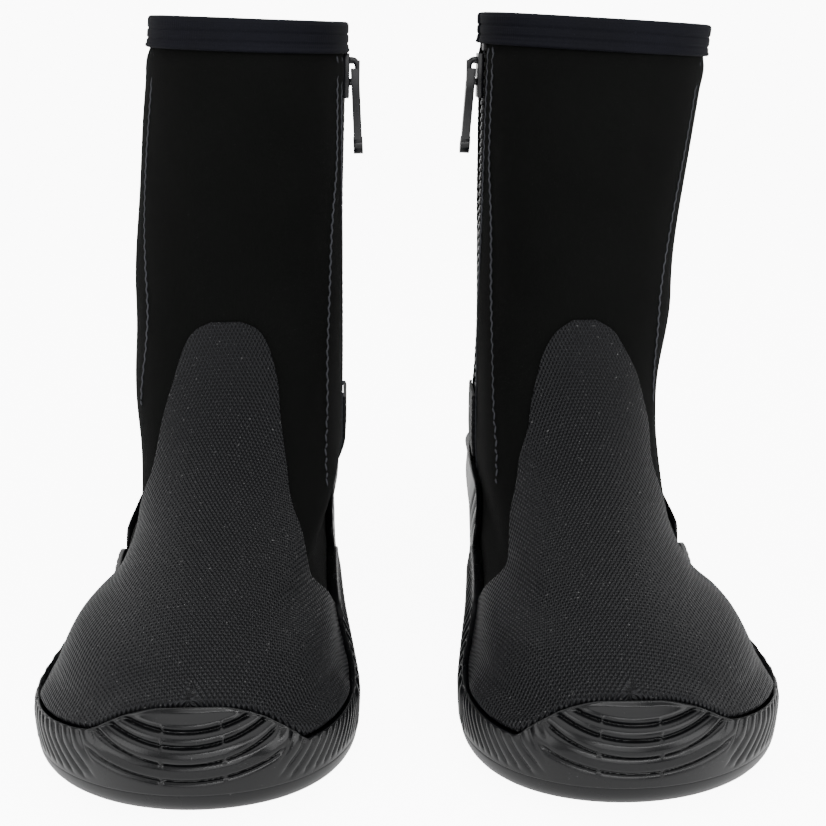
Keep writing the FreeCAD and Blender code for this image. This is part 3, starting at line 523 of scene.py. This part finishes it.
for boot, own in bootSizes.items():
    seam, half = panelSize["seam"], panelSize["seamHalf"]
    frontSlot = lambda height: turnAt(seam + slotHalf(height), height, True)
    rearSlot = lambda height: turnAt(seam - slotHalf(height), height, True)
    walls = (level(panelSize["bottom"]), level(panelSize["top"]))
    front = plateMesh(boot + ".frontPanel", boot, (upright(seam + half, False), frontSlot), walls,
                      -panelSize["thick"], 0, (200, 221), 1.3, (110, 130), panelRelief(own["seed"]))
    finish(front, boot, "jersey", nodes=[boot + "_front_panel"])
    rear = plateMesh(boot + ".rearPanel", boot, (rearSlot, upright(seam - half, False, 360)), walls,
                     -panelSize["thick"], 0, (170, 221), 1.3, (90, 130), panelRelief(own["seed"] + 1))
    finish(rear, boot, "jersey", nodes=[boot + "_rear_panel"])

    def vampRelief(turn, height, u, v):
        # thicker towards the lower edge, to meet the rubber, with a slight lift off it in the middle
        above = height - toeEdge(turn) - vampShape["gap"]
        meet = (0.4 + 1.75 * smoothStep((50 - np.abs(turn)) / 8)) * smoothStep(1 - above / 9)
        lift = 0.7 * np.exp(-((turn + 2) / 6) ** 2) * np.exp(-(above / 1.8) ** 2)
        return meet + lift + 0.12 * np.sin(turn / 7) * np.sin(height / 11)

    def vampLay(points):
        # along: the nearest place on the line down the middle of the foot; across: how far off that line
        heights = np.linspace(22, 124, 700)
        line = skinPoint(boot, np.zeros_like(heights), heights, 2.15)
        run = np.concatenate([[0], np.cumsum(np.linalg.norm(np.diff(line, axis=0), axis=1))])
        flat = points.reshape(-1, 3)
        reach = ((flat ** 2).sum(1)[:, None] - 2 * flat @ line.T + (line ** 2).sum(1)[None, :])
        best = np.clip(reach.argmin(1), 1, len(line) - 2)
        rows = np.arange(len(flat))
        low, mid, high = reach[rows, best - 1], reach[rows, best], reach[rows, best + 1]
        shift = np.clip(0.5 * (low - high) / np.maximum(low - 2 * mid + high, 1e-12), -1, 1)
        along = run[best] + shift * (run[best + 1] - run[best - 1]) / 2
        side = np.sign(flat[:, 0] - line[best, 0]) * np.sqrt(np.maximum(mid, 0))
        return np.stack([side, along], 1).reshape(points.shape[:2] + (2,))

    middle, wide = lineThrough(vampShape[boot]["middle"]), lineThrough(vampShape[boot]["half"])
    vamp = plateMesh(boot + ".vamp", boot,
                     (lambda h: middle(h) - wide(h), lambda h: middle(h) + wide(h)),
                     (lambda t: toeEdge(t) + vampShape["gap"], level(vampShape["top"])),
                     vampShape["inside"], vampShape["outside"], (120, 170), 0.9, (120, 140), vampRelief,
                     vampLay)
    finish(vamp, boot, "vampRubber", nodes=[boot + "_vamp_overlay"])
print("panels and vamps made")

# ---- rubber round the foot
rubberSize = {"floor": 8.05, "top": 26, "inside": 0.35, "foxing": 4.6, "cap": 3.45, "bumper": 4.35,
              "bumperReach": 246, "capReach": 134, "capTop": 46, "ribPitch": 6.4, "ribDepth": 2.6, "gap": 0.1}
ledgeSize = {"from": 152, "to": 208, "low": 40.4, "high": 45.4, "inside": 3.75, "outside": 6.95}


def ribRelief(turn, height, u, v):
    # upright half round ribs: the absolute sine of the way along the foot, fading at the top and bottom edges
    y = -(toeLine(height) + (backLine(height) - toeLine(height)) * (1 - np.cos(np.radians(turn))) / 2)
    wave = np.abs(np.sin(np.pi * y / rubberSize["ribPitch"]))
    return -rubberSize["ribDepth"] * (1 - wave) * smoothStep((height - 9) / 2.5) - 0.05


ringLines = {
    "centre": -1.5, "levels": [25.4, 21.7, 17.6, 12.6], "bend": 0.0155, "depth": 2.3, "round": 1.75,
    "slope": 0.25, "finePitch": 4.8, "fineDepth": 0.9, "pips": (-6.0, 6.5),
}


def ringRelief(turn, height, u, v):
    # terraces: the field is the height less a parabola in turn, and each level has a groove with
    # quarter round lips
    field = height - ringLines["bend"] * (turn - ringLines["centre"]) ** 2
    levels = np.array(ringLines["levels"])
    gap = field[..., None] - levels
    near = np.abs(gap).min(-1)
    lip = np.sqrt(1 - np.clip(1 - near / ringLines["round"], 0, 1) ** 2)
    above = np.where(gap > 0, gap, 9).min(-1)
    terraces = -ringLines["depth"] * (1 - lip) - ringLines["slope"] * np.clip(above, 0, 4) * (above < 9)
    for pip in ringLines["pips"]:
        for groove in ringLines["levels"]:
            terraces += 1.1 * np.exp(-((turn - pip) / 0.3) ** 2 - ((field - groove) / 0.6) ** 2)
    # beside them fine ribs follow a steeper parabola: the root of the absolute sine rounds their backs
    steep = height - 2 * ringLines["bend"] * (turn - ringLines["centre"]) ** 2
    fine = np.sqrt(np.abs(np.sin(np.pi * steep / ringLines["finePitch"])))
    outside = smoothStep((np.abs(turn - ringLines["centre"]) - 18) / 4)
    ribs = -ringLines["fineDepth"] * (1 - fine) * smoothStep((height - 8.6) / 3)
    return (terraces * (1 - outside) + ribs * outside) * smoothStep((height - 8.2) / 1.5)


for boot in bootSizes:
    size = rubberSize
    gap = size["gap"]
    strip = (level(size["floor"]), toeEdge)
    medial = plateMesh(boot + ".foxingMedial", boot,
                       (upright(size["bumperReach"] - gap, True), upright(size["capReach"] + gap, True)),
                       strip, size["inside"], size["foxing"], (115, 18), 0.7, (330, 22), ribRelief)
    finish(medial, boot, "mouldedRubber", nodes=[boot + "_foxing_medial"])
    lateral = plateMesh(boot + ".foxingLateral", boot,
                        (upright(size["capReach"] + gap, False), upright(size["bumperReach"] - gap, False)),
                        strip, size["inside"], size["foxing"], (115, 18), 0.7, (330, 22), ribRelief)
    finish(lateral, boot, "mouldedRubber", nodes=[boot + "_foxing_lateral"])
    bumper = plateMesh(boot + ".toeBumper", boot,
                       (upright(size["bumperReach"] + gap, False), upright(size["bumperReach"] + gap, True)),
                       (level(size["floor"]), toeEdge), size["inside"], size["bumper"], (130, 22), 0.6,
                       (380, 100), ringRelief)
    finish(bumper, boot, "mouldedRubber", nodes=[boot + "_toe_bumper"])

    def capTop(turn):
        share = np.abs(np.mod(turn, 360) - 180) / 108
        return size["top"] + (size["capTop"] - size["top"]) * smoothStep((1 - share) / 0.28)

    def capRelief(turn, height, u, v):
        # three ribs at each front end of the cap
        end = np.minimum(u, 1 - u) * 260
        wave = np.abs(np.sin(np.pi * end / 7.5))
        beside = smoothStep((np.abs(np.mod(turn, 360) - 180) - 34) / 16)
        slim = 1.7 * smoothStep((height - 28) / 14) * beside
        return -1.3 * (1 - wave) * smoothStep((26 - end) / 4) * smoothStep((height - 9) / 2.5) - slim

    cap = plateMesh(boot + ".heelCap", boot,
                    (upright(size["capReach"] - gap, True), upright(size["capReach"] - gap, False, 360)),
                    (level(size["floor"]), capTop), size["inside"], size["cap"], (260, 38), 0.8, (300, 34),
                    capRelief)
    finish(cap, boot, "mouldedRubber", nodes=[boot + "_heel_cap"])
    size = ledgeSize
    ledge = plateMesh(boot + ".strapLedge", boot, (level(size["from"]), level(size["to"])),
                      (level(size["low"]), level(size["high"])), size["inside"], size["outside"],
                      (90, 5), 1.4, (60, 6))
    finish(ledge, boot, "mouldedRubber", nodes=[boot + "_strap_ledge"])
print("rubber made")

# ---- sewn on tapes, flap and patch
sewnSize = {"tapeHalf": 7, "tapeIn": -5.85, "tapeOut": -5.35,
            "flapHalf": 20, "flapIn": -6.55, "flapOut": -5.55,
            "insoleTop": 20.1, "bandFloor": 224, "patchHalf": 13.5, "patchLow": 50, "patchTop": 78}
for boot in bootSizes:
    size, seam = sewnSize, panelSize["seam"]
    for inner, name, node, top in ((False, "seamTapeLateral", "_seam_tape_lateral", size["bandFloor"] - 0.4),
                                   (True, "seamTapeMedial", "_seam_tape_medial", 59.6)):
        tape = plateMesh(boot + "." + name, boot,
                         (upright(seam + size["tapeHalf"], inner), upright(seam - size["tapeHalf"], inner)),
                         (level(size["insoleTop"]), level(top)), size["tapeIn"], size["tapeOut"],
                         (14, 200), 0.2, (6, 90))
        finish(tape, boot, "tape", nodes=[boot + node])
    flap = plateMesh(boot + ".zipGusset", boot,
                     (upright(seam + size["flapHalf"], True), upright(seam - size["flapHalf"], True)),
                     (level(60), level(size["bandFloor"] - 0.4)), size["flapIn"], size["flapOut"],
                     (40, 164), 0.4, (24, 80))
    finish(flap, boot, "jersey", nodes=[boot + "_zip_gusset"])

    def patchRelief(turn, height, u, v):
        # a sunk stitching line just inside the patch's edge
        near = np.minimum(np.minimum(u, 1 - u) * 27, np.minimum(v, 1 - v) * 28)
        return -0.35 * np.exp(-((near - 2.6) / 0.6) ** 2)

    patch = plateMesh(boot + ".zipEndPatch", boot,
                      (upright(seam + size["patchHalf"], True), upright(seam - size["patchHalf"], True)),
                      (level(size["patchLow"]), level(size["patchTop"])), 0.35, 1.75, (27, 28), 0.6, (40, 40),
                      patchRelief)
    finish(patch, boot, "vampRubber", nodes=[boot + "_zip_end_patch"])
print("sewn pieces made")

# ---- collar binding
bandSize = {"bottom": 224, "top": 236.4, "outside": 1.55, "inside": -6.55, "thick": 1.2, "opening": 5.55,
            "grooves": (227.6, 231.4), "groove": 0.45, "lip": 0.5}


def bandSection():
    # the folded band in cut: up the outer face over three ridges, round the top, down the inside and
    # back up within
    heights = np.linspace(bandSize["bottom"], bandSize["top"] - 1.6, 40)
    outer = np.full_like(heights, bandSize["outside"])
    for groove in bandSize["grooves"]:
        outer -= bandSize["groove"] * np.exp(-((heights - groove) / 0.45) ** 2)
    outer += bandSize["lip"] * np.exp(-((heights - bandSize["bottom"] - 0.9) / 0.7) ** 2) - 0.25
    outer[0] -= 0.4
    angle = np.linspace(0, np.pi / 2, 7)
    crown = bandSize["top"] - 1.6
    foldOut = np.stack([bandSize["outside"] - 1.85 + 1.6 * np.cos(angle), crown + 1.6 * np.sin(angle)], 1)
    foldIn = np.stack([bandSize["inside"] + 1.6 - 1.6 * np.sin(angle), crown + 1.6 * np.cos(angle)], 1)
    down = np.linspace(crown - 0.4, bandSize["bottom"], 10)
    over = np.stack([np.r_[outer, foldOut[:, 0], foldIn[:, 0], np.full(10, bandSize["inside"])],
                     np.r_[heights, foldOut[:, 1], foldIn[:, 1], down]], 1)
    leg, roof = bandSize["inside"] + bandSize["thick"], bandSize["top"] - bandSize["thick"]
    under = np.stack([np.r_[np.full(10, leg), np.linspace(leg, 0.35, 14), np.full(40, 0.35)],
                      np.r_[np.linspace(bandSize["bottom"], roof, 10), np.full(14, roof),
                            np.linspace(roof, bandSize["bottom"], 40)]], 1)
    return np.vstack([over, under])


for boot in bootSizes:
    seam = panelSize["seam"]
    start = turnAt(seam + bandSize["opening"], np.array(230.0), True)
    end = turnAt(seam - bandSize["opening"], np.array(230.0), True) - 360
    section = bandSection()
    turn = np.linspace(start, end, 260)[:, None]
    puff = 0.35 * np.sin(np.radians(turn) * 3 + 1) + 0.2 * np.sin(np.radians(turn) * 7)
    outerSide = (section[None, :, 0] > -2)
    points = skinPoint(boot, turn, section[None, :, 1], section[None, :, 0] + puff * outerSide * 0.5)
    count = points.shape[1]
    lengths = np.concatenate([[0], np.cumsum(np.linalg.norm(np.diff(section, axis=0), axis=1))]) * mm
    along = np.concatenate([[0], np.cumsum(np.linalg.norm(np.diff(points[:, 0], axis=0), axis=-1))])
    uvs = np.stack(np.broadcast_arrays(along[:, None], lengths[None, :]), -1)
    band = addMesh(boot + ".collarBinding", points.reshape(-1, 3), ringFaces(len(points), count),
                   uvs.reshape(-1, 2))
    finish(band, boot, "binding", nodes=[boot + "_collar_binding"])
print("collars made")

# ---- outsole: its edge rounds under to the ground, and cross grooves lie inside a plain rim
soleSize = {"top": 8.0, "front": 4.35, "side": 3.45, "roll": 5.6, "rim": 3.0, "pitch": 13, "groove": 4,
            "deep": 3}
# even steps along the foot, with even turns at its ends: a turn's cosine is 1 less twice the share
ends = np.r_[0.04, 0.3, np.linspace(0.8, 12, 22)]
steps = np.degrees(np.arccos(1 - 2 * np.linspace(0.0125, 0.9875, 540)))
soleTurns = np.concatenate([ends, steps, 180 - ends[::-1]])
soleTurns = np.unique(np.round(soleTurns, 3))
for boot in bootSizes:
    size = soleSize
    angle = np.radians(np.linspace(0, 90, 9))[None, :]
    turn = soleTurns[:, None]
    reach = size["side"] + (size["front"] - size["side"]) * smoothStep((60 - turn) / 15)
    # quarter ellipse: out by the cosine, down by the sine
    depth = reach - size["roll"] * (1 - np.cos(angle))
    drop = size["top"] * (1 - np.sin(angle)) + 0 * turn
    sides = []
    for way in (-1, 1):
        side = skinPoint(boot, way * turn + 0 * angle, 8, depth)
        rise = springRise(side[..., 1] / mm - footShape["heelLine"])
        side[..., 2] = (drop + rise) * mm
        sides.append(side)
    first, second = sides
    share = shares(26, 90, 3)[None, 1:-1, None]
    under = first[:, -1:] + (second[:, -1:] - first[:, -1:]) * share
    y = under[..., 1] / mm - footShape["heelLine"]
    across = np.linalg.norm(second[:, -1] - first[:, -1], axis=-1)[:, None] / mm
    edge = np.minimum(np.minimum(share[..., 0], 1 - share[..., 0]) * across, np.minimum(y + 281, -8 - y))
    wave = np.abs(np.mod(-y - 13 + size["pitch"] / 2, size["pitch"]) - size["pitch"] / 2)
    cut = smoothStep((size["groove"] / 2 + 0.3 - wave) / 0.6) * smoothStep((edge - size["rim"]) / 0.8)
    under[..., 2] = (springRise(y) + size["deep"] * cut) * mm
    lid = second[:, :1] + (first[:, :1] - second[:, :1]) * np.linspace(0, 1, 12)[None, 1:-1, None]
    # started in the middle of the lid, so that each end closes from left to right
    ring = np.concatenate([lid[:, 5:], first, under, second[:, ::-1], lid[:, :5]], 1)
    outsole = addMesh(boot + ".outsole", ring.reshape(-1, 3), ringFaces(len(ring), ring.shape[1]))
    finish(outsole, boot, "soleRubber", nodes=[boot + "_outsole"])

# ---- inner soles: flat layers that follow the sole's rise
layerSize = {"sockSole": {"node": "_sock_sole", "low": 12.0, "high": 15.4, "slot": "sock_fabric"},
             "insole": {"node": "_insole", "low": 15.7, "high": 19.4, "slot": "insole_fabric"}}
for boot in bootSizes:
    for name, size in layerSize.items():
        turn, share = np.meshgrid(shares(90, 290, 1.4)[1:-1] * 176 + 2, shares(36, 70, 1.4), indexing="ij")
        sideA, sideB = skinPoint(boot, -turn, 16, -6.4), skinPoint(boot, turn, 16, -6.4)
        flat = sideA + (sideB - sideA) * share[..., None]
        rise = springRise(flat[..., 1] / mm - footShape["heelLine"])
        near = np.minimum(np.minimum(share, 1 - share) * 70, np.minimum(turn - 2, 178 - turn) * 1.6)
        cup = 0.5 * smoothStep(1 - near / 9) - 0.5
        top, under = flat.copy(), flat.copy()
        top[..., 2] = (size["high"] + rise + cup - edgeDrop(near, 1.2)) * mm
        under[..., 2] = (size["low"] + rise) * mm
        ring = np.concatenate([top, under[:, ::-1]], 1)
        uvs = ring[..., :2].reshape(-1, 2)
        layerPiece = addMesh(boot + "." + name, ring.reshape(-1, 3), ringFaces(len(ring), ring.shape[1]), uvs)
        finish(layerPiece, boot, "lining", nodes=[boot + size["node"]])

# ---- stitching: rows of small slanted loops of thread on both sides of each seam
stitchSize = {"medial": [(55, 158), (60, 150), (87, 117), (125, 99), (157, 93), (185, 88), (222, 87)],
              "lateral": [(80, 139), (89, 121), (126, 106), (158, 98), (187, 94), (222, 92)],
              "length": 3.3, "wide": 0.42, "high": 0.34, "pitch": 2.1, "slant": 0.34, "side": 0.26}


def stitchRow(name, boot, distance, inner, low, high):
    # one loop is a slim pointed grain: its half width is the root of 1 less the square of the way along it
    along = np.linspace(-1, 1, 7)[:, None]
    around = np.linspace(0, 2 * np.pi, 7)[None, :-1]
    girth = np.sqrt(np.clip(1 - along ** 2, 0, 1)) + 0.02
    heights = np.arange(low, high, stitchSize["pitch"])
    turns = turnAt(distance(heights), heights, inner)
    centre = skinPoint(boot, turns, heights, 0.12)
    up = skinPoint(boot, turnAt(distance(heights + 0.5), heights + 0.5, inner), heights + 0.5, 0.12) - centre
    up /= np.linalg.norm(up, axis=1, keepdims=True)
    out = skinPoint(boot, turns, heights, 1.12) - centre
    out /= np.linalg.norm(out, axis=1, keepdims=True)
    across = np.cross(up, out)
    way = np.where(np.arange(len(heights)) % 2, 1, -1)[:, None]
    run = up * np.cos(stitchSize["slant"]) + across * way * np.sin(stitchSize["slant"])
    over = np.cross(out, run)
    centre = centre + across * way * stitchSize["side"] * mm
    spread = lambda v: v[:, None, None, :]
    half = stitchSize["length"] / 2 * mm
    points = (spread(centre) + spread(run) * (along * half)[None, :, :, None]
              + spread(over) * (girth * np.cos(around))[None, :, :, None] * stitchSize["wide"] * mm
              + spread(out) * (girth * np.sin(around))[None, :, :, None] * stitchSize["high"] * mm)
    count, rings, sides = points.shape[:3]
    one = ringFaces(rings, sides, capped=True)
    faces = (one[None] + (np.arange(count) * rings * sides)[:, None, None]).reshape(-1, 4)
    row = addMesh(name, points.reshape(-1, 3), faces)
    finish(row, boot, "thread")


for boot in bootSizes:
    seam = panelSize["seam"]
    even = lambda offset: (lambda h: np.full_like(h, seam + offset))
    beside = lambda way: (lambda h: seam + way * (4.2 + np.maximum(slotHalf(h), 11.5)))
    stitchRow(boot + ".lateralStitchFront", boot, even(4.2), False, 30, 222)
    stitchRow(boot + ".lateralStitchRear", boot, even(-4.2), False, 48, 222)
    stitchRow(boot + ".zipStitchFront", boot, beside(1), True, 30, 222)
    stitchRow(boot + ".zipStitchRear", boot, beside(-1), True, 48, 222)
    stitchRow(boot + ".frontStitchMedial", boot, lineThrough(stitchSize["medial"]), True, 62, 222)
    stitchRow(boot + ".frontStitchLateral", boot, lineThrough(stitchSize["lateral"]), False, 88, 222)
print("soles and stitching made")

# ---- zip: woven tapes, and rounded copies of the moulded pieces
tapeSize = {"low": 80, "top": 232.5, "inside": -2.4, "outside": -1.8, "edge": 4.55}
for boot in bootSizes:
    seam, size = panelSize["seam"], tapeSize
    for name, way in (("Front", 1), ("Rear", -1)):
        outerEdge = lambda h: turnAt(seam + way * (slotHalf(h) - 0.4), h, True)
        innerEdge = lambda h: turnAt(seam + way * size["edge"], h, True)
        tape = plateMesh(boot + ".zipTape" + name, boot, (outerEdge, innerEdge),
                         (level(size["low"]), level(size["top"])), size["inside"], size["outside"],
                         (7, 152), 0.25, (8, 90))
        finish(tape, boot, "tape", nodes=["%s_zip_tape_%s" % (boot, name.lower())])


def zipPoint(boot, out, across, up):
    # place beside the zip: out from the boot, across it to the rear, and up the teeth from their lower end
    seam, bottom, top = panelSize["seam"], float(panelSize["zipBottom"]), float(bandSize["bottom"])
    low = skinPoint(boot, turnAt(seam, bottom, True), bottom, 0)
    high = skinPoint(boot, turnAt(seam, top, True), top, 0)
    slope = math.atan2(high[0] - low[0], high[2] - low[2])
    sign = bootSizes[boot]["sign"]
    out, across, up = np.broadcast_arrays(out, across, up)
    x = sign * out * math.cos(slope) + up * math.sin(slope)
    z = up * math.cos(slope) - sign * out * math.sin(slope)
    return low + np.stack([x, across, z], -1) * mm


def roundedCopy(node, name, body, boot, material, width):
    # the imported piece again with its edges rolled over: merged, its flat faces joined, then bevelled
    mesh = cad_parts[node].data.copy()
    if name.endswith(".zipPull"):
        # thicker on its outer side: what lies beyond the middle line of the bar is moved out by the swell
        co = np.empty(len(mesh.vertices) * 3)
        mesh.vertices.foreach_get("co", co)
        co = co.reshape(-1, 3)
        slope, start = np.polyfit(co[:, 2], co[:, 0], 1)
        side = (co[:, 0] - start - slope * co[:, 2]) * bootSizes[boot]["sign"]
        co[:, 0] += bootSizes[boot]["sign"] * loopSize["swell"] * mm * (side > 0.0004)
        mesh.vertices.foreach_set("co", co.ravel())
    mesh.materials.clear()
    work = bmesh.new()
    work.from_mesh(mesh)
    bmesh.ops.remove_doubles(work, verts=work.verts, dist=2e-6)
    bmesh.ops.dissolve_limit(work, angle_limit=math.radians(1.5), verts=work.verts, edges=work.edges)
    work.to_mesh(mesh)
    work.free()
    mesh.name = name
    piece = bpy.data.objects.new(name, mesh)
    bpy.context.scene.collection.objects.link(piece)
    bevel = piece.modifiers.new("rolledEdge", "BEVEL")
    bevel.width, bevel.segments = width * mm, 3
    bevel.limit_method, bevel.angle_limit = "ANGLE", math.radians(32)
    bevel.use_clamp_overlap = True
    mesh.polygons.foreach_set("use_smooth", np.full(len(mesh.polygons), True))
    return finish(piece, boot, material, body, [node])


def oval(value):
    # a sine or cosine squared up: the 0.6 power of its size, with its own sign
    return np.sign(value) * np.abs(value) ** 0.6


loopSize = {"swell": 1.5, "foot": 1.3, "low": 129.4, "high": 141.2, "reach": 5.9, "half": 1.9, "thick": 1.05}
for boot in bootSizes:
    # the slider's bridge: a squared half round path with a squared round section
    size = loopSize
    angle = np.linspace(0, np.pi, 41)[:, None]
    middle, radius = (size["low"] + size["high"]) / 2, (size["high"] - size["low"]) / 2 - size["thick"]
    section = np.linspace(0, 2 * np.pi, 17)[None, :-1]
    wide, tall = oval(np.cos(angle)), oval(np.sin(angle))
    grow = size["thick"] * oval(np.cos(section))
    out = size["foot"] + (size["reach"] - size["foot"] - size["thick"] + grow) * tall
    across = size["half"] * oval(np.sin(section)) + 0 * angle
    arch = zipPoint(boot, out, across, middle + (radius + grow) * wide)
    bridge = addMesh(boot + ".sliderBridge", arch.reshape(-1, 3), ringFaces(len(arch), arch.shape[1]))
    finish(bridge, boot, "sliderPlastic", boot + "_slider")

# node, piece, body, material, slot and edge rounding in mm
mouldedPieces = [
    ("_midsole", ".midsole", "_boot", "foam", "midsole_foam", 0.4),
    ("_zip_teeth_front", ".zipTeethFront", "_boot", "zipPlastic", "zip_plastic", 0.45),
    ("_zip_teeth_rear", ".zipTeethRear", "_boot", "zipPlastic", "zip_plastic", 0.45),
    ("_zip_top_stops", ".zipTopStops", "_boot", "zipPlastic", "zip_plastic", 0.6),
    ("_zip_bottom_stop", ".zipBottomStop", "_boot", "zipPlastic", "zip_plastic", 0.6),
    ("_zip_slider", ".zipSlider", "_slider", "sliderPlastic", "slider_plastic", 0.4),
    ("_zip_pull", ".zipPull", "_pull", "sliderPlastic", "slider_plastic", 0.45),
]
for boot in bootSizes:
    for node, name, body, look, slotName, width in mouldedPieces:
        roundedCopy(boot + node, boot + name, boot + body, boot, look, width)
print("zips made")

# ---- floor, light and camera
stageSize = {"white": 9.0, "glow": 0.35, "sky": 0.4, "half": 3.0, "back": 1.6, "round": 0.5}


def makeStage():
    # a floor that turns up into a wall behind: straight, a quarter round, straight
    angle = np.linspace(0, np.pi / 2, 24)
    back, radius = stageSize["back"], stageSize["round"]
    line = np.vstack([[(-2.5, 0)], np.stack([back + radius * np.sin(angle), radius * (1 - np.cos(angle))], 1),
                      [(back + radius, 3)]])
    xs = np.linspace(-stageSize["half"], stageSize["half"], 2)
    points = np.array([(x, y, z) for y, z in line for x in xs])
    i = np.arange(len(line) - 1)
    faces = np.stack([2 * i, 2 * i + 1, 2 * i + 3, 2 * i + 2], 1)
    floor = addMesh("studioFloor", points, faces)
    tree, shader, _ = startMaterial("paleFloor", 0.9)
    shader.inputs["Base Color"].default_value = (0.93, 0.93, 0.93, 1)
    shader.inputs["Emission Color"].default_value = (1, 1, 1, 1)
    # plain white to the eye, dimmer as a light on the boots
    rays = tree.nodes.new("ShaderNodeLightPath")
    glow = math2(tree, "MULTIPLY_ADD", rays.outputs["Is Camera Ray"], stageSize["white"], stageSize["glow"])
    tree.links.new(glow, shader.inputs["Emission Strength"])
    floor.data.materials.append(materials["paleFloor"])


makeStage()


def addLight(name, where, target, size, power):
    light = bpy.data.lights.new(name, "AREA")
    light.shape = "RECTANGLE"
    light.size, light.size_y = size
    light.energy = power
    lamp = bpy.data.objects.new(name, light)
    lamp.location = where
    direction = np.array(target) - np.array(where)
    flat = math.hypot(direction[0], direction[1])
    tip, spin = math.atan2(direction[2], flat), math.atan2(direction[1], direction[0])
    lamp.rotation_euler = (math.pi / 2 + tip, 0, spin - math.pi / 2)
    bpy.context.scene.collection.objects.link(lamp)


addLight("softTop", (0.0, -0.2, 1.5), (0, 0, 0.1), (1.8, 1.4), 16)
addLight("softLeft", (-1.2, -0.9, 0.7), (0, 0, 0.12), (0.9, 1.2), 14)
addLight("softRight", (1.2, -0.9, 0.7), (0, 0, 0.12), (0.9, 1.2), 14)
addLight("softFront", (0.0, -1.5, 0.5), (0, 0, 0.08), (1.0, 0.6), 6)
addLight("softStrip", (0.3, -1.3, 1.0), (0, -0.1, 0.03), (1.1, 0.12), 9)
world = bpy.data.worlds.new("studio")
world.use_nodes = True
world.node_tree.nodes["Background"].inputs[0].default_value = (1, 1, 1, 1)
sky = world.node_tree
rays = sky.nodes.new("ShaderNodeLightPath")
glow = math2(sky, "MULTIPLY_ADD", rays.outputs["Is Camera Ray"], stageSize["white"], stageSize["sky"])
sky.links.new(glow, sky.nodes["Background"].inputs[1])
bpy.context.scene.world = world

cameraSpot = {"place": (-0.01414, -0.49924, 0.23499), "down": 16.312, "turn": 1.762, "lens": 58.25}
view = bpy.data.cameras.new("view")
view.lens, view.sensor_width = cameraSpot["lens"], 36
eye = bpy.data.objects.new("view", view)
eye.location = cameraSpot["place"]
eye.rotation_euler = (math.radians(90 - cameraSpot["down"]), 0, -math.radians(cameraSpot["turn"]))
bpy.context.scene.collection.objects.link(eye)
bpy.context.scene.camera = eye
